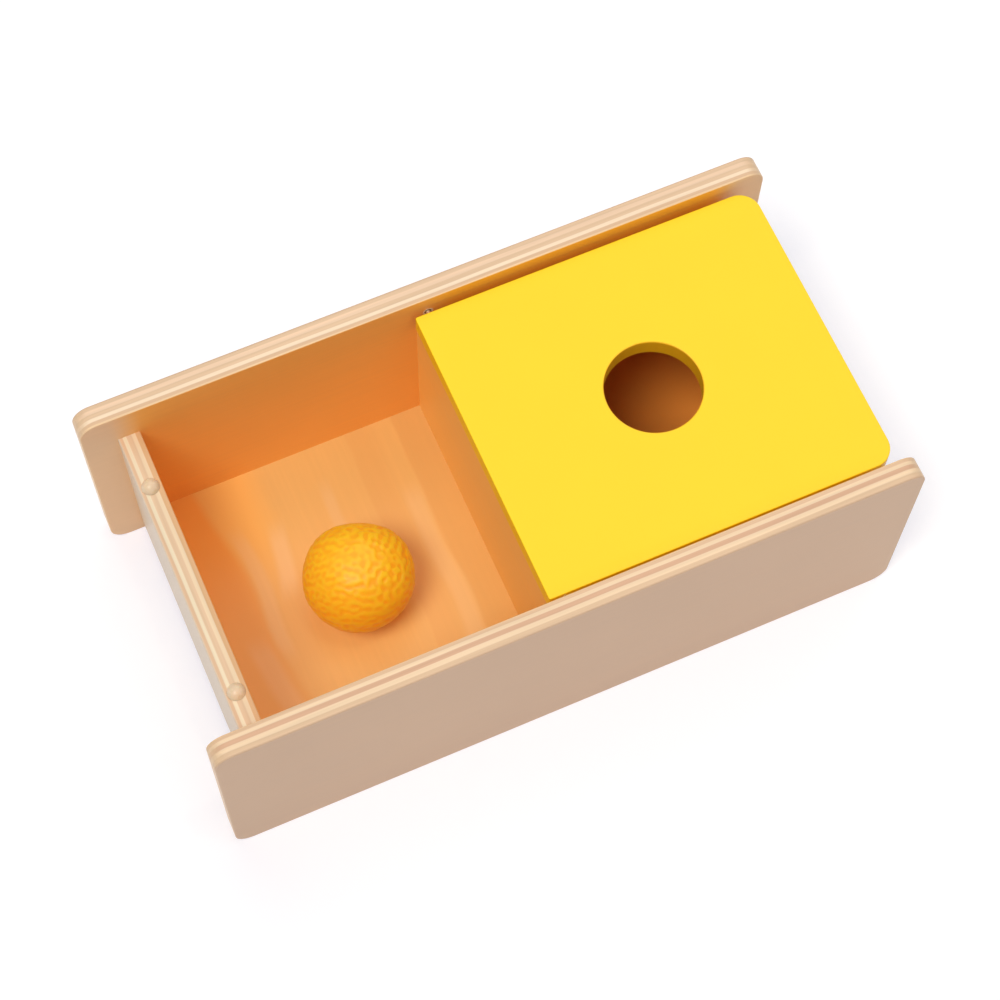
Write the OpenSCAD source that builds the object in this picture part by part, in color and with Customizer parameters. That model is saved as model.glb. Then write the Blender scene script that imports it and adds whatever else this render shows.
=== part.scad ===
// Object permanence box: an open ball tray beside a covered compartment with a flip lid.
// Millimetres, +Z up. X runs along the box, and the origin is under its middle, on the table.

/* [Box] */
// Length of the side panels
box_l = 300; // [260:1:360]
// Width over both side panels
box_w = 157.5; // [130:0.5:200]
// Height of the side panels
box_h = 109.5; // [100:0.5:140]
// Thickness of the plywood boards
board_t = 9.5; // [8:0.5:13]
// Radius of the side panels' corners
corner_r = 8; // [4:0.5:16]
// Round along the boards' edges
edge_r = 0.5; // [0.3:0.1:2]
// Length that the back panel stands past the front one, beside the lid's free edge
back_overrun = 1.5; // [0:0.1:4]
// Distance from the side panels' ends back to the end panels
end_inset = 14.5; // [10:0.5:20]
// Height of the floor's underside above the table
floor_lift = 5; // [2:0.5:12]

/* [Lid] */
// Thickness of the lid
lid_t = 9; // [7:0.5:12]
// Distance from the side panels' top edges down to the lid's face
lid_drop = 5.9; // [3:0.1:12]
// Gap between the lid and each side panel
lid_gap = 2.75; // [1.5:0.25:5]
// Distance from the side panels' ends back to the lid's free edge
lid_setback = 5.9; // [2:0.1:9]
// Length of the lid behind its hinge axis
lid_tail = 6.9; // [5:0.1:9]
// Radius of the lid's two free corners
lid_corner_r = 9; // [3:0.5:16]
// Radius of the lid's two hinge corners
lid_heel_r = 0.9; // [0.9:0.1:4]
// Round along the lid's edges and round the hole's rims
lid_edge_r = 0.4; // [0.2:0.1:0.8]
// Diameter of the ball hole in the lid
hole_d = 40; // [30:1:60]
// Room between the lid's turning tail and the divider's top
tail_room = 0.4; // [0.3:0.1:2]
// Distance from under the hinge axis to the divider's middle, towards the tray
divider_shift = 0.5; // [0:0.1:1.5]

/* [Hinge] */
// Diameter of the hinge pins
pin_d = 2.2; // [2:0.1:4]
// Depth of a hinge pin in the lid's edge
pin_grip = 18; // [10:1:30]
// Running clearance round a hinge pin
pin_play = 0.05; // [0.02:0.01:0.1]
// Wall of a hinge bush
bush_wall = 1.2; // [1:0.1:2]
// Depth of the countersink at a bush's mouth
bush_sink = 0.5; // [0.3:0.1:0.9]
// Space behind a hinge pin's end
pin_end_room = 1; // [0.5:0.1:2]

/* [Bumpers] */
// Diameter of the bumper domes
bumper_d = 7.5; // [5:0.1:9]
// Height of the bumper domes
bumper_h = 3; // [1.5:0.1:3.5]
// Gap left under the lid's face where it comes down on the bumpers
bumper_gap = 0.3; // [0.2:0.1:1]
// Distance from the side panels' inner faces to the bumpers' centres
bumper_inset = 22.4; // [10:0.1:40]
// Shift of the bumpers towards the back panel
bumper_shift = -2.2; // [-8:0.1:8]

/* [Ball] */
// Diameter of the soft ball
ball_d = 46.5; // [36:0.5:56]
// Distance from the left end panel to the ball's centre
ball_from_end = 62.8; // [40:0.1:80]
// Distance from the box's middle line to the ball's centre, towards the front
ball_from_middle = 3.9; // [0:0.1:30]
// Gap under the ball as it lies on the floor
ball_gap = 0.3; // [0.2:0.1:0.5]

/* [Joinery] */
// Diameter of the wooden dowels
dowel_d = 6; // [4:0.5:6.5]
// Length of the wooden dowels
dowel_l = 24; // [18:1:32]
// Chamfer on the dowels' ends
dowel_chamfer = 0.8; // [0.3:0.1:1.5]
// Distance from a panel's top and bottom to its dowels
dowel_inset = 18; // [12:1:26]
// Number of dowels along each side of the floor
floor_dowels = 4; // [2:1:6]
// Wood left between a blind hole and a side panel's outer face
blind_skin = 2.5; // [1.5:0.1:4]
// Glue film round the dowels and the bushes
glue_gap = 0.05; // [0.02:0.01:0.1]
// Space for glue at each end of a dowel
glue_room = 0.5; // [0.3:0.1:1.5]

/* [Hidden] */
$fn = 72;
cut = 0.5;
inner_y = box_w / 2 - board_t;
floor_top = floor_lift + board_t;
end_in_x = box_l / 2 - end_inset - board_t;
end_mid_x = end_in_x + board_t / 2;

// The lid turns about the middle of its thickness, above the middle of the divider.
lid_under = box_h - lid_drop - lid_t;
hinge_z = lid_under + lid_t / 2;
lid_reach = box_l / 2 - lid_setback;
lid_half_w = inner_y - lid_gap;
hole_x = (lid_reach - lid_tail) / 2;
end_top = lid_under - bumper_gap - bumper_h;

// The tail's farthest point from the hinge axis lies on its rounded edge.
tail_swing = norm([lid_tail - lid_edge_r, lid_t / 2 - lid_edge_r]) + lid_edge_r;
divider_top = hinge_z - tail_swing - tail_room;

blind_depth = board_t - blind_skin;
bush_bore = pin_d + 2 * pin_play;
bush_d = bush_bore + 2 * bush_wall;
dowel_bite = blind_depth - glue_room;

// Dowel places as [x, z] on a side panel's inner face
end_dowel_z = [floor_lift + dowel_inset, end_top - dowel_inset];
left_end_spots = [for (z = end_dowel_z) [-end_mid_x, z]];
right_end_spots = [for (z = end_dowel_z) [end_mid_x, z]];
divider_x = -divider_shift;
divider_spots = [for (z = [floor_top + dowel_inset, divider_top - dowel_inset]) [divider_x, z]];
floor_spots = [
    for (i = [0 : floor_dowels - 1])
        [end_in_x * ((2 * i + 1) / floor_dowels - 1), floor_lift + board_t / 2]
];

plywood = [0.86, 0.71, 0.55];
beech = [0.80, 0.62, 0.42];
yellow_paint = [1.0, 0.84, 0.12];
steel = [0.75, 0.76, 0.78];
white_nylon = [0.94, 0.90, 0.82];
clear_silicone = [0.90, 0.88, 0.82, 0.6];
amber_rubber = [1.0, 0.64, 0.10];

// Half of a board's section: r wide from its inner line, t thick, outer corners rounded by e
module edge_section(r, t, e) {
    square([r - e, t]);
    translate([0, e]) square([r, t - 2 * e]);
    for (y = [e, t - e])
        translate([r - e, y]) circle(e);
}

// End of a flat board, from x = 0 outwards, with two corners of radius r
module board_end(w, t, e, r) {
    translate([0, w / 2 - r, 0])
        rotate([90, 0, 0])
            linear_extrude(w - 2 * r) edge_section(r, t, e);
    for (s = [0, 1])
        mirror([0, s, 0])
            translate([0, w / 2 - r, 0])
                rotate_extrude(angle = 90) edge_section(r, t, e);
}

// Flat board from x = 0 to l, centred across its width, with every edge rounded by e
module rounded_board(l, w, t, e, heel_r, toe_r) {
    translate([heel_r, 0, 0])
        rotate([90, 0, 90])
            linear_extrude(l - heel_r - toe_r)
                for (s = [0, 1])
                    mirror([s, 0]) edge_section(w / 2, t, e);
    translate([heel_r, 0, 0])
        mirror([1, 0, 0]) board_end(w, t, e, heel_r);
    translate([l - toe_r, 0, 0])
        board_end(w, t, e, toe_r);
}

// Upright board across the box between two heights, with its top edges rounded
module cross_panel(bottom, top) {
    height = top - bottom;
    translate([0, inner_y, bottom])
        rotate([90, 0, 0])
            linear_extrude(2 * inner_y) {
                translate([-board_t / 2, 0]) square([board_t, height - edge_r]);
                translate([edge_r - board_t / 2, 0]) square([board_t - 2 * edge_r, height]);
                for (s = [-1, 1])
                    translate([s * (board_t / 2 - edge_r), height - edge_r]) circle(edge_r);
            }
}

// Copies its children to the front as well
module both_sides() {
    children();
    mirror([0, 1, 0]) children();
}

// Blind holes that run from a side panel into the edge of the panel it joins
module dowel_bores(spots) {
    for (p = spots)
        translate([p.x, inner_y + dowel_bite + glue_room, p.y])
            rotate([90, 0, 0])
                cylinder(d = dowel_d + 2 * glue_gap, h = dowel_l + 2 * glue_room);
}

// Dowels across the joint with the back side panel
module dowels(spots) {
    tip_d = dowel_d - 2 * dowel_chamfer;
    color(beech)
        for (p = spots)
            translate([p.x, inner_y + dowel_bite, p.y])
                rotate([90, 0, 0]) {
                    cylinder(d1 = tip_d, d2 = dowel_d, h = dowel_chamfer);
                    translate([0, 0, dowel_chamfer])
                        cylinder(d = dowel_d, h = dowel_l - 2 * dowel_chamfer);
                    translate([0, 0, dowel_l - dowel_chamfer])
                        cylinder(d1 = dowel_d, d2 = tip_d, h = dowel_chamfer);
                }
}

// Back side panel, drilled on its inner face, longer by overrun beside the lid's free edge
module side_panel(overrun) {
    color(plywood)
        difference() {
            translate([-box_l / 2, box_w / 2, box_h / 2])
                rotate([90, 0, 0])
                    rounded_board(box_l + overrun, box_h, board_t, edge_r, corner_r, corner_r);
            dowel_bores(concat(left_end_spots, right_end_spots, divider_spots, floor_spots));
            translate([0, inner_y + blind_depth, hinge_z])
                rotate([90, 0, 0])
                    cylinder(d = bush_d + 2 * glue_gap, h = blind_depth + cut);
        }
}

module front_side_panel() {
    mirror([0, 1, 0]) side_panel(0);
}

module back_side_panel() {
    side_panel(back_overrun);
}

module left_end_panel() {
    color(plywood)
        difference() {
            translate([-end_mid_x, 0, 0]) cross_panel(floor_lift, end_top);
            both_sides() dowel_bores(left_end_spots);
        }
}

module right_end_panel() {
    color(plywood)
        difference() {
            translate([end_mid_x, 0, 0]) cross_panel(floor_lift, end_top);
            both_sides() dowel_bores(right_end_spots);
        }
}

module divider_panel() {
    color(plywood)
        difference() {
            translate([divider_x, 0, 0]) cross_panel(floor_top, divider_top);
            both_sides() dowel_bores(divider_spots);
        }
}

module floor_panel() {
    color(plywood)
        difference() {
            translate([-end_in_x, -inner_y, floor_lift])
                cube([2 * end_in_x, 2 * inner_y, board_t]);
            both_sides() dowel_bores(floor_spots);
        }
}

// Through hole whose rims flare out by the lid's edge round
module rimmed_hole() {
    hole_r = hole_d / 2;
    rotate_extrude() {
        translate([0, -cut]) square([hole_r, lid_t + 2 * cut]);
        for (s = [0, 1])
            translate([0, s * lid_t])
                mirror([0, s])
                    difference() {
                        translate([0, -cut]) square([hole_r + lid_edge_r, lid_edge_r + cut]);
                        translate([hole_r + lid_edge_r, lid_edge_r]) circle(lid_edge_r);
                    }
    }
}

module flip_lid() {
    color(yellow_paint)
        difference() {
            translate([-lid_tail, 0, lid_under])
                rounded_board(
                    lid_tail + lid_reach, 2 * lid_half_w, lid_t, lid_edge_r, lid_heel_r, lid_corner_r
                );
            translate([hole_x, 0, lid_under]) rimmed_hole();
            both_sides()
                translate([0, lid_half_w + cut, hinge_z])
                    rotate([90, 0, 0]) cylinder(d = pin_d, h = pin_grip + cut);
        }
}

// Back hinge pin, pressed into the lid's edge
module hinge_pin() {
    tip_y = inner_y + blind_depth - pin_end_room;
    color(steel)
        translate([0, tip_y, hinge_z])
            rotate([90, 0, 0]) cylinder(d = pin_d, h = tip_y - lid_half_w + pin_grip);
}

module front_hinge_pin() {
    mirror([0, 1, 0]) hinge_pin();
}

module back_hinge_pin() {
    hinge_pin();
}

// Back hinge bush, flush with the side panel's inner face
module hinge_bush() {
    bore_r = bush_bore / 2;
    color(white_nylon)
        translate([0, inner_y, hinge_z])
            rotate([-90, 0, 0])
                rotate_extrude()
                    polygon([
                        [bore_r + bush_sink, 0],
                        [bush_d / 2, 0],
                        [bush_d / 2, blind_depth],
                        [bore_r, blind_depth],
                        [bore_r, bush_sink]
                    ]);
}

module front_hinge_bush() {
    mirror([0, 1, 0]) hinge_bush();
}

module back_hinge_bush() {
    hinge_bush();
}

// Domed bumper on an end panel's top: side is -1 at the left, end is -1 at the front
module bumper(side, end) {
    base_r = bumper_d / 2;
    dome_r = (base_r * base_r + bumper_h * bumper_h) / (2 * bumper_h);
    color(clear_silicone)
        translate([side * end_mid_x, bumper_shift + end * (inner_y - bumper_inset), end_top])
            rotate_extrude()
                intersection() {
                    translate([0, bumper_h - dome_r]) circle(dome_r);
                    square([base_r, bumper_h]);
                }
}

module left_front_bumper() {
    bumper(-1, -1);
}

module left_back_bumper() {
    bumper(-1, 1);
}

module right_front_bumper() {
    bumper(1, -1);
}

module right_back_bumper() {
    bumper(1, 1);
}

module ball() {
    color(amber_rubber)
        translate([ball_from_end - end_in_x, -ball_from_middle, floor_top + ball_gap + ball_d / 2])
            sphere(d = ball_d);
}

module left_end_front_dowels() {
    mirror([0, 1, 0]) dowels(left_end_spots);
}

module left_end_back_dowels() {
    dowels(left_end_spots);
}

module right_end_front_dowels() {
    mirror([0, 1, 0]) dowels(right_end_spots);
}

module right_end_back_dowels() {
    dowels(right_end_spots);
}

module divider_front_dowels() {
    mirror([0, 1, 0]) dowels(divider_spots);
}

module divider_back_dowels() {
    dowels(divider_spots);
}

module floor_front_dowels() {
    mirror([0, 1, 0]) dowels(floor_spots);
}

module floor_back_dowels() {
    dowels(floor_spots);
}

front_side_panel();
back_side_panel();
left_end_panel();
right_end_panel();
divider_panel();
floor_panel();
flip_lid();
front_hinge_pin();
back_hinge_pin();
front_hinge_bush();
back_hinge_bush();
left_front_bumper();
left_back_bumper();
right_front_bumper();
right_back_bumper();
ball();
left_end_front_dowels();
left_end_back_dowels();
right_end_front_dowels();
right_end_back_dowels();
divider_front_dowels();
divider_back_dowels();
floor_front_dowels();
floor_back_dowels();
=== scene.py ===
# %% [markdown]
# # Dressing an object permanence box
#
# The real toy is a plywood box with an open tray, a yellow flip lid over a hidden
# compartment, and a soft ball that is pushed through the lid's hole. The CAD model
# already holds every board, pin and dowel at its true size. This lesson gives those
# boards the finishes of the real ones, works out the ball's wrinkled skin with numpy,
# and sets up the table, the light and the camera.

# %% Load the CAD frame
import math

import bpy
import numpy as np
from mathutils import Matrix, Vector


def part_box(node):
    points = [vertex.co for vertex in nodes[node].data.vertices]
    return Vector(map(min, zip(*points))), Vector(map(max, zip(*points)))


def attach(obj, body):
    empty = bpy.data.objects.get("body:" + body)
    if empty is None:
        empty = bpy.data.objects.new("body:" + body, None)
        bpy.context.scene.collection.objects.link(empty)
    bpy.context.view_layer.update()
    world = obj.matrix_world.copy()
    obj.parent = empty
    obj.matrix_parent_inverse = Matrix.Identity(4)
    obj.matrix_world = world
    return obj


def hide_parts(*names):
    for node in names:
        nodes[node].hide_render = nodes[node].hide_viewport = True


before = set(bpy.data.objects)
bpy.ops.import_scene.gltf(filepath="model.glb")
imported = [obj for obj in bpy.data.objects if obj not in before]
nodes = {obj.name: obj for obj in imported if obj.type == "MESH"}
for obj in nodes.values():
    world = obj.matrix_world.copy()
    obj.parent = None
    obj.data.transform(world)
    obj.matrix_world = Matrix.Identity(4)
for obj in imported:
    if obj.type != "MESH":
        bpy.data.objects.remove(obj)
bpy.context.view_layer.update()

# %% [markdown]
# ## Shader maths as Python
#
# A material in Blender is a graph of nodes. Clicking one together is quick, but a
# script reads better when a mask is written as a sum. `Wire` stands for one output of
# a node, and arithmetic on it adds Math nodes. `Graph` has the one method that adds
# any other node: its settings come first, because they can change which sockets it has.
# `Finish` is the graph of a material, and feeds its shader's sockets by name.

# %% Wires
class Wire:
    """One output of a shader node. Arithmetic on it adds a Math node."""

    def __init__(self, graph, socket):
        self.graph = graph
        self.socket = socket

    def math(self, operation, *values):
        """Adds a Math node, whose values are wires or numbers."""
        sockets = dict(enumerate(values))
        return self.graph.node("ShaderNodeMath", sockets, operation=operation)

    def __add__(self, other):
        return self.math("ADD", self, other)

    def __sub__(self, other):
        return self.math("SUBTRACT", self, other)

    def __rsub__(self, other):
        return self.math("SUBTRACT", other, self)

    def __mul__(self, other):
        return self.math("MULTIPLY", self, other)

    def __truediv__(self, other):
        return self.math("DIVIDE", self, other)

    def __abs__(self):
        return self.math("ABSOLUTE", self)

    __radd__ = __add__
    __rmul__ = __mul__


# %% The node graph
class Graph:
    """The node graph of a material or a world."""

    def __init__(self, owner):
        owner.use_nodes = True
        self.owner = owner
        self.tree = owner.node_tree

    def feed(self, socket, value):
        """Links a wire to a socket, or sets the socket's own value."""
        if isinstance(value, Wire):
            self.tree.links.new(value.socket, socket)
        else:
            socket.default_value = value

    def node(self, kind, sockets=None, output=0, stops=None, **settings):
        """Adds a node: its settings, a ramp's stops, then its sockets. Returns one output."""
        made = self.tree.nodes.new(kind)
        for name, value in settings.items():
            setattr(made, name, value)
        if stops:
            ramp = made.color_ramp.elements
            while len(ramp) < len(stops):
                ramp.new(1.0)
            for element, (position, colour) in zip(ramp, stops):
                element.position = position
                element.color = colour
        for name, value in (sockets or {}).items():
            self.feed(made.inputs[name], value)
        return Wire(self, made.outputs[output])

    def place(self):
        """Object coordinates in metres, whole and as x, y and z."""
        whole = self.node("ShaderNodeTexCoord", output="Object")
        split = self.node("ShaderNodeSeparateXYZ", {"Vector": whole})
        parts = [Wire(self, socket) for socket in split.socket.node.outputs]
        return whole, *parts

    def noise(self, place, scale, detail=2.0):
        """Smooth noise from 0 to 1, with its own number of cells per metre on each axis."""
        stretched = self.node("ShaderNodeMapping", {"Vector": place, "Scale": scale})
        sockets = {"Vector": stretched, "Scale": 1.0, "Detail": detail}
        return self.node("ShaderNodeTexNoise", sockets)

    def blend(self, share, first, second):
        """A colour between two others."""
        sockets = {0: share, 6: first, 7: second}
        return self.node("ShaderNodeMix", sockets, output=2, data_type="RGBA")

    def scaled(self, colour, factor):
        """A colour made lighter or darker by a factor."""
        sockets = {"Vector": colour, "Scale": factor}
        return self.node("ShaderNodeVectorMath", sockets, operation="SCALE")

    def smooth(self, value, low, high):
        """0 below low, 1 above high, and an even S curve between them."""
        sockets = {"Value": value, "From Min": low, "From Max": high}
        return self.node("ShaderNodeMapRange", sockets, interpolation_type="SMOOTHSTEP")


# %% Finishes and colours
class Finish(Graph):
    """The node graph of a material with one Principled shader."""

    def __init__(self, name, **sockets):
        super().__init__(bpy.data.materials.new(name))
        self.shader = self.tree.nodes["Principled BSDF"]
        self.shade(**sockets)

    def shade(self, **sockets):
        """Feeds the shader's sockets, named with underscores for the spaces."""
        for name, value in sockets.items():
            self.feed(self.shader.inputs[name.replace("_", " ")], value)

    def bump(self, height, strength, distance):
        """The Normal of a surface whose height, 0 to 1, stands for a distance in metres."""
        sockets = {"Strength": strength, "Distance": distance, "Height": height}
        return self.node("ShaderNodeBump", sockets)


def dress(finish, *names):
    """Puts a finish on CAD nodes, whose meshes stay as they are."""
    for name in names:
        nodes[name].data.materials.clear()
        nodes[name].data.materials.append(finish.owner)
    print(finish.owner.name, "on", len(names), "nodes")


def seen(red, green, blue):
    """A colour as a screen shows it, 0 to 255, in the linear light that shaders use."""
    screen = np.array([red, green, blue]) / 255
    light = np.where(screen <= 0.04045, screen / 12.92, ((screen + 0.055) / 1.055) ** 2.4)
    return (*light.tolist(), 1.0)


# %% [markdown]
# ## Plywood
#
# Each board is five veneers glued crosswise. Its faces show one veneer, and its edges
# show all five as stripes. An image could be wrapped round the board, but the stripes
# are a fact of the thickness: if the colour depends only on how deep a point lies in
# the board, faces and edges both come out right, on every side and at every cut. Fine
# streaks along the grain, slow clouds of tone and a satin lacquer finish the board.

# %% Measures of the boards
side_low, side_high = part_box("back_side_panel")
end_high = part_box("left_end_panel")[1]
divider_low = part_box("divider_panel")[0]
floor_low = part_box("floor_panel")[0]
board = side_high.y - side_low.y
print("board thickness in mm:", round(1000 * board, 2))

# %% The plywood finish
GLUE_BLUR = 0.02
PLY_WANDER = 0.10
FACE_STREAKS = 0.08
EDGE_STREAKS = 0.24
CLOUDS = 0.05
CLOUD_CELLS = (22, 22, 22)


def ply_stops(plies):
    """A ramp across the board: each veneer is flat up to its end, with a short blend there."""
    stops = []
    start = 0.0
    for veneer, end in plies:
        stops += [(start + GLUE_BLUR, veneer), (end - GLUE_BLUR, veneer)]
        start = end
    return stops


def plywood(name, depth_of, grain, plies, faces=()):
    """Plywood whose depth, 0 to 1, is a function of x, y and z, with grain cells per metre.

    Each face is a colour, and a function of the finish, x, z and depth that gives its share.
    """
    wood = Finish(name, Specular_IOR_Level=0.25, Coat_Weight=0.15, Coat_Roughness=0.2)
    place, x, y, z = wood.place()
    depth = depth_of(x, y, z)
    wander = wood.noise(place, [0.06 * cells + 14 for cells in grain], 1.0)
    ply = depth + PLY_WANDER * (wander - 0.5)
    colour = wood.node("ShaderNodeValToRGB", {"Fac": ply}, stops=ply_stops(plies))
    for veneer, share_of in faces:
        colour = wood.blend(share_of(wood, x, z, depth), colour, veneer)
    streaks = wood.noise(place, grain, 3.0)
    clouds = wood.noise(place, CLOUD_CELLS, 1.0)
    edge = wood.smooth(depth, 0.01, 0.05) * (1 - wood.smooth(depth, 0.95, 0.99))
    tone = 0.98 + (FACE_STREAKS + EDGE_STREAKS * edge) * (streaks - 0.5) + CLOUDS * clouds
    wood.colour = wood.scaled(colour, tone)
    wood.shade(
        Base_Color=wood.colour,
        Roughness=0.42 + 0.12 * streaks,
        Normal=wood.bump(streaks, 0.12, 0.0002),
    )
    wood.place_wires = place, x, y, z
    return wood


# %% [markdown]
# A board's face is one veneer, but not the same colour all over: the side boards are tan
# outside (darker there partly as painted shade) and at their ends, and painted warm orange
# between the end boards for bounced light, deepest beside the lid as painted shade. Each
# of these is a mask, made of depth in the board and of place along it.

# %% Where each face lies
TAN_VENEER = seen(225, 186, 148)
CREAM_VENEER = seen(242, 211, 173)
BRIGHT_VENEER = seen(249, 222, 189)
PINK_VENEER = seen(218, 173, 139)
ROSE_VENEER = seen(239, 204, 170)
SAND_VENEER = seen(226, 191, 154)
# Painted highlight: a lighter inner ply that stands for light caught on the eased edge.
PAINTED_EDGE_HIGHLIGHT = seen(243, 206, 160)
CORNER_VENEER = seen(221, 186, 146)
FACE_VENEER = seen(234, 192, 149)
# Partly the outer veneer's own tan and partly painted shade: darkened for the weaker light on
# the outer face.
OUTER_TONE_AND_PAINTED_SHADE = seen(207, 171, 139)
# Painted bounce light: warm orange that stands for light bounced between the tray's walls.
PAINTED_BOUNCE_VENEER = seen(252, 185, 95)
# Painted shade: a deeper orange beside and under the lid.
PAINTED_SHADE_BESIDE_LID = seen(254, 182, 66)

# Where a mask starts and ends, in metres along the box or up from the table
BEHIND_ENDS = 0.122, 0.139
BESIDE_LID = -0.002, 0.012
CORNER_ALONG = 0.1440, 0.1485
CORNER_UP = 0.098, 0.104


def outer_face(wood, x, z, depth):
    """The face that looks out of the box."""
    return wood.smooth(depth, 0.90, 0.985)


def inner_face(wood, x, z, depth):
    """The face that looks into the box."""
    return 1 - wood.smooth(depth, 0.004, 0.018)


def painted_bounce_mask_between_ends(wood, x, z, depth):
    """The part of a side board's inner face between the end boards, painted with bounce light.
    """
    return inner_face(wood, x, z, depth) * (1 - wood.smooth(abs(x), *BEHIND_ENDS))


def painted_shade_mask_beside_lid(wood, x, z, depth):
    """The part of a side board's inner face beside and under the lid, painted as shade."""
    return painted_bounce_mask_between_ends(wood, x, z, depth) * wood.smooth(x, *BESIDE_LID)


def sanded_corner(wood, x, z, depth):
    """A side board's rounded upper corners, where sanding blurs the plies."""
    return 0.7 * wood.smooth(abs(x), *CORNER_ALONG) * wood.smooth(z, *CORNER_UP)


# %% The side boards
GRAIN_ALONG_BOX = (14, 620, 620)


def side_plywood(name, plies):
    """A side board, with its grain along the box."""
    return plywood(
        name,
        lambda x, y, z: (abs(y) - side_low.y) / board,
        GRAIN_ALONG_BOX,
        plies,
        [
            (CORNER_VENEER, sanded_corner),
            (OUTER_TONE_AND_PAINTED_SHADE, outer_face),
            (FACE_VENEER, inner_face),
            (PAINTED_BOUNCE_VENEER, painted_bounce_mask_between_ends),
            (PAINTED_SHADE_BESIDE_LID, painted_shade_mask_beside_lid),
        ],
    )


front_plywood = side_plywood(
    "front_plywood",
    [
        (PAINTED_EDGE_HIGHLIGHT, 0.05),
        (TAN_VENEER, 0.19),
        (CREAM_VENEER, 0.35),
        (PINK_VENEER, 0.55),
        (CREAM_VENEER, 0.75),
        (SAND_VENEER, 1.0),
    ],
)
back_plywood = side_plywood(
    "back_plywood",
    [
        (PAINTED_EDGE_HIGHLIGHT, 0.075),
        (TAN_VENEER, 0.225),
        (BRIGHT_VENEER, 0.385),
        (SAND_VENEER, 0.585),
        (ROSE_VENEER, 0.775),
        (SAND_VENEER, 1.0),
    ],
)
dress(front_plywood, "front_side_panel")
dress(back_plywood, "back_side_panel")

# %% The boards between them
AMBER_VENEER = seen(219, 172, 124)
HAY_VENEER = seen(234, 206, 169)
STRAW_VENEER = seen(238, 218, 184)
# Painted reflection and light: the end boards' outer face is pale grey for the white room it
# mirrors at a grazing angle.
PAINTED_PALE_REFLECTION = seen(218, 199, 176)
DIVIDER_VENEER = seen(250, 201, 109)
# Painted bounce light: a deep orange for the compartment side of the divider.
PAINTED_COMPARTMENT_BOUNCE = seen(255, 170, 60)

GRAIN_ACROSS_BOX = (620, 14, 620)
END_PLIES = [
    (AMBER_VENEER, 0.23),
    (HAY_VENEER, 0.41),
    (SAND_VENEER, 0.64),
    (STRAW_VENEER, 0.80),
    (TAN_VENEER, 1.0),
]
# The end boards' inner faces also take the painted bounce light.
end_plywood = plywood(
    "end_plywood",
    lambda x, y, z: (abs(x) + end_high.x) / board,
    GRAIN_ACROSS_BOX,
    END_PLIES,
    [(PAINTED_BOUNCE_VENEER, inner_face), (PAINTED_PALE_REFLECTION, outer_face)],
)
divider_plywood = plywood(
    "divider_plywood",
    lambda x, y, z: (x - divider_low.x) / board,
    GRAIN_ACROSS_BOX,
    END_PLIES,
    [(DIVIDER_VENEER, inner_face), (PAINTED_COMPARTMENT_BOUNCE, outer_face)],
)
dress(end_plywood, "left_end_panel", "right_end_panel")
dress(divider_plywood, "divider_panel")

# %% [markdown]
# ## The tray's floor
#
# The floor board is a warmer veneer, and its face is the one place where the grain is
# bold: a few pale growth lines run from front to back, and the tone steps a little from
# one to the next. Noise could scatter such lines, but this board's are few, so each one is
# written down: where it crosses the middle of the box, how it leans, and how wide it is.

# %% The floor's board
FLOOR_VENEER = seen(238, 187, 108)
FLOOR_GRAIN = (520, 14, 520)

floor_plywood = plywood(
    "floor_plywood",
    lambda x, y, z: (z - floor_low.z) / board,
    FLOOR_GRAIN,
    [*END_PLIES[:-1], (FLOOR_VENEER, 1.0)],
)
place, x, y, z = floor_plywood.place_wires
step = floor_plywood.smooth
wobble = 0.010 * (floor_plywood.noise(place, (8, 22, 8), 1.0) - 0.5)


def across(middle, lean=0.0):
    """How far a point lies to the right of a wavy line that crosses the box's middle."""
    return x - middle - lean * y - wobble


# %% The floor's growth lines
FADE = 0.014
PALE_SHARE = 0.22

# Strength, place at the box's middle, lean, half width, and both ends from front to back
GROWTH_LINES = [
    (1.1, -0.1000, -0.045, 0.0048, -0.022, 0.050),
    (1.7, -0.0925, 0.18, 0.0058, 0.004, 0.046),
    (1.0, -0.0585, 0.0, 0.0040, 0.016, 0.056),
    (1.0, -0.0240, 0.0, 0.0060, -0.080, 0.040),
    (1.3, -0.1110, -0.10, 0.0070, -0.070, 0.000),
]


def growth_line(middle, lean, half_width, start, end):
    """A pale line along the grain, which fades in at start and out at end."""
    body = 1 - step(abs(across(middle, lean)), 0.3 * half_width, half_width)
    return body * (step(y, start, start + FADE) * (1 - step(y, end - FADE, end)))


pale = sum(strength * growth_line(*line) for strength, *line in GROWTH_LINES)
print("floor:", len(GROWTH_LINES), "growth lines")

# %% [markdown]
# Between the lines the veneer changes slowly, and it is deeper in two strips on the right.
# Painted light and shade lie over that: a redder strip along the left wall, deepest at the
# back, is painted shade; a warm bright patch right of it at the back is painted light; the
# floor darkens a little towards the back wall; and the compartment's part is painted the
# deepest orange, for its shade and bounced light. So the face is built up in layers, one
# blend for each.

# %% The floor's tones
DEEP_VENEER = seen(233, 176, 99)
# Painted light: a warmer, brighter tone at the back left, which lightens the wall's shadow
# there.
PAINTED_LIGHT_WARM = seen(255, 196, 102)
# Painted shade: redder tones along the left wall, deepest in the back corner.
PAINTED_SHADE_RED = seen(239, 179, 96)
PAINTED_CORNER_SHADE_RED = seen(255, 174, 74)
PALE_STREAK = seen(248, 214, 162)
# Painted shade and bounce light: the deepest orange for the floor under the lid.
PAINTED_SHADE_UNDER_LID = seen(255, 152, 52)

strips = step(across(-0.0415), -0.001, 0.001) - step(across(-0.034), 0.0, 0.010)
strips = strips + step(across(-0.0195), -0.0008, 0.0008)
right_of_wall = step(x, -0.094, -0.078)
# Mask of the painted light at the back left.
warm = step(y, 0.0, 0.045) * (1 - right_of_wall)
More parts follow.
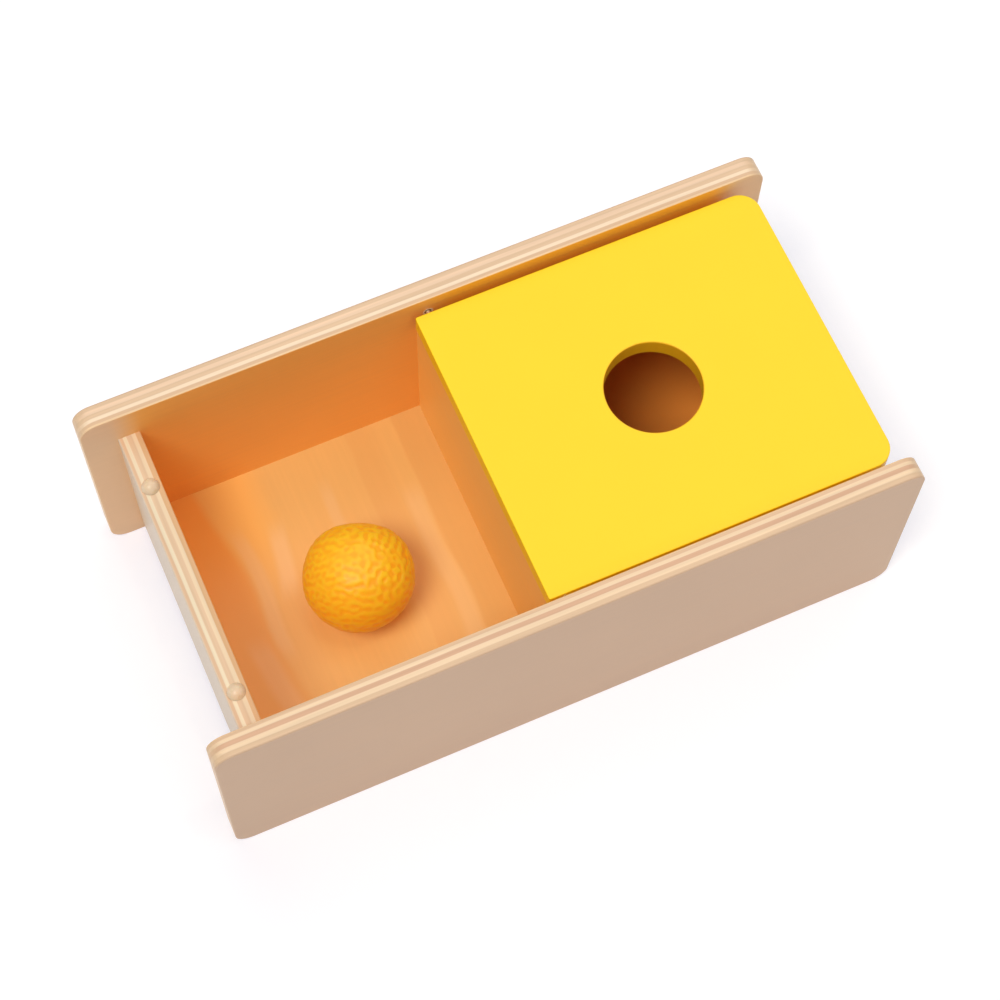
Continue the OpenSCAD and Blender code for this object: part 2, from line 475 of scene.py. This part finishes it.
# Mask of the painted shade along the left wall; red is its colour.
painted_wall_shade = 1 - step(across(-0.1040, -0.10), -0.0020, 0.0030)
red = floor_plywood.blend(step(y, -0.030, 0.060), PAINTED_SHADE_RED, PAINTED_CORNER_SHADE_RED)
far = step(y, 0.005, 0.055) * right_of_wall
# Mask of the painted shade and bounce light under the lid.
under_lid_painted_shade = step(x, 0.0, 0.009)

face = floor_plywood.blend(0.5 * strips, floor_plywood.colour, DEEP_VENEER)
face = floor_plywood.blend(0.85 * warm, face, PAINTED_LIGHT_WARM)
face = floor_plywood.blend(0.85 * painted_wall_shade, face, red)
face = floor_plywood.blend(PALE_SHARE * pale, face, PALE_STREAK)
face = floor_plywood.scaled(face, 1 - 0.10 * far)
face = floor_plywood.blend(0.9 * under_lid_painted_shade, face, PAINTED_SHADE_UNDER_LID)
floor_plywood.shade(Base_Color=face)
dress(floor_plywood, "floor_panel")

# %% [markdown]
# ## The painted lid
#
# The lid is sprayed with a satin yellow paint. Sprayed paint isn't a perfect plane: it
# has a very fine orange peel, which softens reflections. A faint noise in the roughness
# and a shallow bump give that, and the colour itself stays even. Only the wall of the
# hole is painted a deeper amber, which is painted light: it stands for orange light
# bounced up from the wood inside.

# %% The lid's finish
LID_YELLOW = seen(254, 216, 18)
# Painted bounce light: amber on the hole's wall for orange light from inside the box.
PAINTED_HOLE_BOUNCE = seen(255, 191, 24)
HOLE_EDGE = 0.0202
LID_FACE = 0.0206

lid_low, lid_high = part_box("flip_lid")
hole_x = float(lid_low.x + lid_high.x) / 2
lid_paint = Finish("lid_paint", IOR=1.45)
place, x, y, z = lid_paint.place()
peel = lid_paint.noise(place, (700, 700, 700))
coverage = lid_paint.noise(place, (30, 30, 30))
from_hole = (x - hole_x) * (x - hole_x) + y * y
in_hole = 1 - lid_paint.smooth(from_hole, HOLE_EDGE**2, LID_FACE**2)
yellow = lid_paint.blend(in_hole, LID_YELLOW, PAINTED_HOLE_BOUNCE)
lid_paint.shade(
    Base_Color=lid_paint.scaled(yellow, 0.98 + 0.04 * coverage),
    Roughness=0.40 + 0.08 * peel,
    Normal=lid_paint.bump(peel, 0.06, 0.0001),
)
dress(lid_paint, "flip_lid")

# %% [markdown]
# ## Hinge steel, bumpers and dowels
#
# The small parts are seen only in glimpses: a pin and its bush beside the lid, and two
# pale domes on the end panel. Steel is a metal with turning marks along the pin, and the
# bush is pale nylon with a dark mouth round the pin, which is painted shade where the
# bore is opened out.

# %% Hinge pins and bushes
PIN_STEEL = (0.86, 0.78, 0.62)

hinge_steel = Finish("hinge_steel", Metallic=1.0)
place = hinge_steel.place()[0]
turning = hinge_steel.noise(place, (300, 2600, 300))
hinge_steel.shade(
    Base_Color=hinge_steel.scaled(PIN_STEEL, 0.9 + 0.2 * turning),
    Roughness=0.22 + 0.16 * turning,
)
dress(hinge_steel, "front_hinge_pin", "back_hinge_pin")

NYLON = seen(252, 224, 184)
LIGHT_NYLON = seen(255, 234, 200)
# Painted shade: a dark ring in the bush's mouth round the pin.
PAINTED_MOUTH_SHADE = seen(70, 44, 26)
MOUTH_EDGE = 0.00145
RIM_EDGE = 0.00165

bush_low, bush_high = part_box("back_hinge_bush")
axle_z = float(bush_low.z + bush_high.z) / 2
bush_nylon = Finish("bush_nylon", Roughness=0.5)
place, x, y, z = bush_nylon.place()
mottle = bush_nylon.noise(place, (900, 900, 900))
from_axle = x * x + (z - axle_z) * (z - axle_z)
rim = bush_nylon.smooth(from_axle, MOUTH_EDGE**2, RIM_EDGE**2)
nylon = bush_nylon.blend(mottle, NYLON, LIGHT_NYLON)
bush_nylon.shade(Base_Color=bush_nylon.blend(rim, PAINTED_MOUTH_SHADE, nylon))
dress(bush_nylon, "front_hinge_bush", "back_hinge_bush")

# %% [markdown]
# The domes are soft silicone with the wood's colour in them. Real clear silicone passes
# the light on to the board under it. Here the light scatters inside the dome instead, and
# a little sheen brightens its rim, which gives the same soft edge without a see-through
# surface that touches another. The dowels sit inside the joints, and get a plain beech.

# %% Bumpers and dowels
SILICONE = seen(225, 199, 165)
LIGHT_SILICONE = seen(235, 211, 178)
BEECH = seen(226, 190, 146)
BEECH_FLECK = seen(206, 166, 120)

clear_silicone = Finish(
    "clear_silicone",
    IOR=1.41,
    Subsurface_Weight=0.8,
    Subsurface_Scale=0.0012,
    Subsurface_Radius=(1.0, 0.8, 0.6),
    Sheen_Weight=0.5,
    Sheen_Roughness=0.4,
    Sheen_Tint=seen(250, 228, 196),
)
place = clear_silicone.place()[0]
bloom = clear_silicone.noise(place, (500, 500, 500))
clear_silicone.shade(
    Base_Color=clear_silicone.blend(bloom, SILICONE, LIGHT_SILICONE),
    Roughness=0.22 + 0.10 * bloom,
)
dress(clear_silicone, *[name for name in nodes if name.endswith("_bumper")])

dowel_beech = Finish("dowel_beech", Roughness=0.6)
place = dowel_beech.place()[0]
flecks = dowel_beech.noise(place, (1400, 120, 1400))
dowel_beech.shade(Base_Color=dowel_beech.blend(flecks, BEECH, BEECH_FLECK))
dress(dowel_beech, *[name for name in nodes if name.endswith("_dowels")])

# %% [markdown]
# ## The ball's skin
#
# The ball is soft rubber, cast with a skin of short wandering wrinkles. A bump map would
# leave its outline a perfect circle, so the wrinkles are real relief. A sum of plane
# waves of one wavelength makes an even, wavy field. If the waves share a direction, the
# field is stripes; if they point every way, it is dimples. Two such fields are mixed
# over the sphere, and a smooth step turns them into broad ridges and narrow grooves.

# %% Wave fields on the sphere
rng = np.random.default_rng(7)


def waves(points, wavelength, count, along=None, spread=0.5):
    """A sum of plane waves at points, scaled to a standard deviation of 1.

    Each wave is the cosine of a wave vector times the point plus a phase. The vectors
    point every way, or gather round the direction along with the given spread.
    """
    vectors = rng.normal(size=(count, 3))
    if along is not None:
        vectors = np.array(along) + spread * vectors
    vectors /= np.linalg.norm(vectors, axis=1, keepdims=True)
    lengths = wavelength * rng.uniform(0.8, 1.25, size=(count, 1))
    phases = rng.uniform(0, 2 * np.pi, size=count)
    field = np.cos(points @ (2 * np.pi * vectors / lengths).T + phases).sum(axis=1)
    return field / math.sqrt(count / 2)


def smooth_step(value, low, high):
    """0 below low, 1 above high, and the curve 3t^2 - 2t^3 between them."""
    t = np.clip((value - low) / (high - low), 0, 1)
    return t * t * (3 - 2 * t)


# %% The ball's grid
AROUND, RINGS = 420, 230

ball_low, ball_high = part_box("ball")
ball_centre = np.array((ball_low + ball_high) / 2)
ball_radius = (ball_high.x - ball_low.x) / 2


def sphere_grid(around, rings):
    """Points of a unit sphere on a grid of two angles, and the faces that join them.

    The angle t runs round the X axis and u runs from pole to pole, so a point is
    (cos u, sin u cos t, sin u sin t). The poles are one point each, closed by triangles.
    """
    u = np.linspace(0, np.pi, rings + 2)[1:-1, None]
    t = np.linspace(0, 2 * np.pi, around, endpoint=False)[None, :]
    axes = np.broadcast_arrays(np.cos(u), np.sin(u) * np.cos(t), np.sin(u) * np.sin(t))
    grid = np.stack(axes, 2)
    points = np.concatenate([grid.reshape(-1, 3), [[1, 0, 0], [-1, 0, 0]]])
    first = np.arange(rings * around).reshape(rings, around)
    second = np.roll(first, -1, axis=1)
    quads = np.stack([first[:-1], first[1:], second[1:], second[:-1]], 2).reshape(-1, 4)
    near, far = rings * around, rings * around + 1
    near_cap = np.stack([np.full(around, near), first[0], second[0]], 1)
    far_cap = np.stack([np.full(around, far), second[-1], first[-1]], 1)
    return points, quads.tolist() + near_cap.tolist() + far_cap.tolist()


unit, ball_faces = sphere_grid(AROUND, RINGS)
print("ball:", len(ball_faces), "faces")

# %% The ball's relief
GROOVE_DEPTH = 0.00032
FOLD_HEIGHT = 0.00005
SKIN_RISE = 0.00015
STROKE_WAY = (0.37, 0.85, 0.39)
SWIRL_WAY = (0.92, -0.40, 0.0)
TURN_WAY = np.array([0.9, -0.6, 0.2])

skin_mm = 1000 * ball_radius * unit
strokes = waves(skin_mm, wavelength=2.9, count=70, along=STROKE_WAY, spread=0.48)
swirls = waves(skin_mm, wavelength=3.5, count=70, along=SWIRL_WAY, spread=0.50)
dimples = waves(skin_mm, wavelength=3.2, count=90)
drift = waves(skin_mm, wavelength=40, count=12)
turn = smooth_step(drift + unit @ TURN_WAY, -0.4, 0.9)
stroked = 0.85 * strokes + 0.4 * dimples
swirled = 0.75 * swirls + 0.65 * dimples
relief = smooth_step((1 - turn) * stroked + turn * swirled, -1.7, 1.1)
depth = GROOVE_DEPTH * (0.6 + 0.7 * turn)
folds = FOLD_HEIGHT * waves(skin_mm, wavelength=7.5, count=40)
print("grooves in mm, up to", round(1000 * depth.max(), 2))

# %% [markdown]
# The ball has been squeezed often, so it isn't quite round either: it is pressed flat a
# little at the back and at the front, and swells beside those dents.

# %% The ball's mesh
# Direction, height in metres and tightness of each dent or bulge
DENTS = [
    (STROKE_WAY, -0.0011, 9),
    ((-0.33, 0.90, 0.29), 0.0005, 7),
    ((0.91, 0.35, 0.26), 0.0005, 7),
    ((-0.99, 0.0, -0.16), 0.0004, 7),
    ((0.31, -0.90, -0.30), -0.0005, 7),
]


def swelling(toward, height, tightness):
    """A soft bulge or dent: height times e^(tightness (cos a - 1)), a the angle from toward."""
    toward = np.array(toward) / np.linalg.norm(toward)
    return height * np.exp(tightness * (unit @ toward - 1))


pressed = sum(swelling(*dent) for dent in DENTS)
radius = ball_radius + SKIN_RISE - depth * (1 - relief) + folds + pressed
ball_points = ball_centre + unit * radius[:, None]

ball_mesh = bpy.data.meshes.new("wrinkled_ball")
ball_mesh.from_pydata(ball_points.tolist(), [], ball_faces)
ball_mesh.polygons.foreach_set("use_smooth", np.ones(len(ball_mesh.polygons), bool))
stored = ball_mesh.attributes.new("relief", "FLOAT", "POINT")
stored.data.foreach_set("value", relief.astype(np.float32))
ball_mesh.update()
ball = bpy.data.objects.new("wrinkled_ball", ball_mesh)
bpy.context.scene.collection.objects.link(ball)
print("ball's radius in mm:", 1000 * radius.min(), "to", 1000 * radius.max())

# %% [markdown]
# The rubber is amber, and its grooves are painted a deeper orange, which is painted
# shade in the creases. The relief was stored on the vertices, so the finish reads that
# attribute instead of guessing where the grooves are.

# %% The ball's finish
BALL_RIDGE = seen(255, 198, 42)
# Painted shade: the grooves' deeper orange stands for the shade in the creases.
PAINTED_GROOVE_SHADE = seen(254, 181, 36)

ball_rubber = Finish(
    "ball_rubber",
    Specular_IOR_Level=0.15,
    Subsurface_Weight=0.85,
    Subsurface_Scale=0.012,
    Subsurface_Radius=(1.0, 0.55, 0.12),
    Coat_Weight=0.1,
    Coat_Roughness=0.04,
)
place = ball_rubber.place()[0]
stored_relief = ball_rubber.node("ShaderNodeAttribute", output="Fac", attribute_name="relief")
grit = ball_rubber.noise(place, (900, 900, 900))
ball_rubber.shade(
    Base_Color=ball_rubber.blend(stored_relief, PAINTED_GROOVE_SHADE, BALL_RIDGE),
    Roughness=0.34 + 0.14 * grit,
)
ball_mesh.materials.append(ball_rubber.owner)
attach(ball, "loose_ball")
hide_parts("ball")

# %% [markdown]
# ## The table
#
# The photograph has a white ground with only a breath of shadow. A white sheet alone
# would turn grey where the light falls off. Light Path tells the shader what kind of
# ray has arrived. Rays from the camera and from shiny surfaces see a sheet that is part
# lit, so the shadow stays, and part flat white of its own. The flat part is bluer than
# the lit part, so the shadow is cool, as under daylight. All other rays see the plain
# sheet, which throws its light back on the box.

# %% The white sheet
LIT_SHARE = (0.85, 0.79, 0.62)
FLAT_SHARE = (0.20, 0.25, 0.43)
SHEET_WHITE = (0.99, 0.99, 1.0)
TABLE_HALF = 6.0


def looking(graph):
    """1 for rays from the camera, from shiny surfaces and through clear ones, otherwise 0."""
    path = graph.node("ShaderNodeLightPath").socket.node.outputs
    kinds = ("Camera", "Glossy", "Transmission")
    camera_ray, shiny, through = [Wire(graph, path[f"Is {kind} Ray"]) for kind in kinds]
    either = camera_ray.math("MAXIMUM", camera_ray, shiny)
    return either.math("MAXIMUM", either, through)


corners = np.array([[-1, -1, 0], [1, -1, 0], [1, 1, 0], [-1, 1, 0]]) * TABLE_HALF
table_mesh = bpy.data.meshes.new("table")
table_mesh.from_pydata(corners.tolist(), [], [[0, 1, 2, 3]])
table = bpy.data.objects.new("table", table_mesh)
bpy.context.scene.collection.objects.link(table)

sheet = Finish(
    "white_sheet", Base_Color=(*SHEET_WHITE, 1), Roughness=1.0, Specular_IOR_Level=0.0
)
lit = sheet.node("ShaderNodeBsdfDiffuse", {"Color": (*LIT_SHARE, 1)})
glow = sheet.node("ShaderNodeEmission", {"Color": (*FLAT_SHARE, 1)})
airy = sheet.node("ShaderNodeAddShader", {0: lit, 1: glow})
plain = Wire(sheet, sheet.shader.outputs["BSDF"])
seen_sheet = sheet.node("ShaderNodeMixShader", {0: looking(sheet), 1: plain, 2: airy})
sheet.feed(sheet.tree.nodes["Material Output"].inputs["Surface"], seen_sheet)
table_mesh.materials.append(sheet.owner)
print("table:", 2 * TABLE_HALF, "m wide")

# %% [markdown]
# ## Light
#
# The shadows say where the light was. The tray's left wall shades the floor beside it,
# light falls through the lid's hole to the right, and the shadow on the table lies close
# to the box's right end: a big lamp hung high on the left, a little to the front. Two
# wider and weaker lamps and an even white room fill in the rest, and a small weak bulb on
# the ceiling gives the ball's skin a few glints. A sun lamp with a wide angle is a soft
# light that falls evenly on everything, as a big softbox does on a small toy. A strength
# of pi makes a white card that faces the lamp look just white.

# %% Room and lamps
ROOM_SHARE = 0.23

room = Graph(bpy.data.worlds.new("white_room"))
bpy.context.scene.world = room.owner
background = room.tree.nodes["Background"]
background.inputs["Color"].default_value = (1, 1, 1, 1)
room.feed(background.inputs["Strength"], ROOM_SHARE + (1 - ROOM_SHARE) * looking(room))


def hang_lamp(name, side, height, width, share):
    """A sun lamp from a side and height in degrees, as wide as it looks from the box."""
    lamp_data = bpy.data.lights.new(name, "SUN")
    lamp_data.energy = share * math.pi
    lamp_data.angle = math.radians(width)
    lamp = bpy.data.objects.new(name, lamp_data)
    lamp.rotation_euler = (0, math.radians(90 - height), math.radians(side))
    bpy.context.scene.collection.objects.link(lamp)
    return share * math.sin(math.radians(height))


on_the_lid = ROOM_SHARE
on_the_lid += hang_lamp("left_softbox", side=208, height=65.5, width=22, share=0.46)
on_the_lid += hang_lamp("back_softbox", side=45, height=60, width=60, share=0.25)
on_the_lid += hang_lamp("front_softbox", side=270, height=60, width=60, share=0.15)
on_the_lid += hang_lamp("ceiling_bulb", side=325, height=80, width=1, share=0.03)
print("a white card on the lid would show", round(on_the_lid, 2))

# %% [markdown]
# ## Camera
#
# The camera was worked out from the straight edges in the photograph: it stands about a
# metre above the table, to the front left, and looks steeply down. The small shift says
# that the photograph was cropped a little off its middle.

# %% Camera
PICTURE = 1000
FOCAL_PIXELS = 2463.45
MIDDLE_PIXELS = (462.39, 514.24)
CAMERA_PLACE = (-0.17187, -0.36389, 0.99137)
LOOKS_DOWN = 67.153
TURNED = -23.389

camera_data = bpy.data.cameras.new("camera")
camera_data.sensor_width = 36
camera_data.lens = camera_data.sensor_width * FOCAL_PIXELS / PICTURE
camera_data.shift_x = 0.5 - (MIDDLE_PIXELS[0] + 0.5) / PICTURE
camera_data.shift_y = (MIDDLE_PIXELS[1] + 0.5) / PICTURE - 0.5
camera = bpy.data.objects.new("camera", camera_data)
camera.location = CAMERA_PLACE
camera.rotation_euler = (math.radians(90 - LOOKS_DOWN), 0, math.radians(TURNED))
bpy.context.scene.collection.objects.link(camera)
bpy.context.scene.camera = camera
bpy.context.scene.view_settings.view_transform = "Standard"
print("lens", round(camera_data.lens, 1), "mm, shift", camera_data.shift_x, camera_data.shift_y)
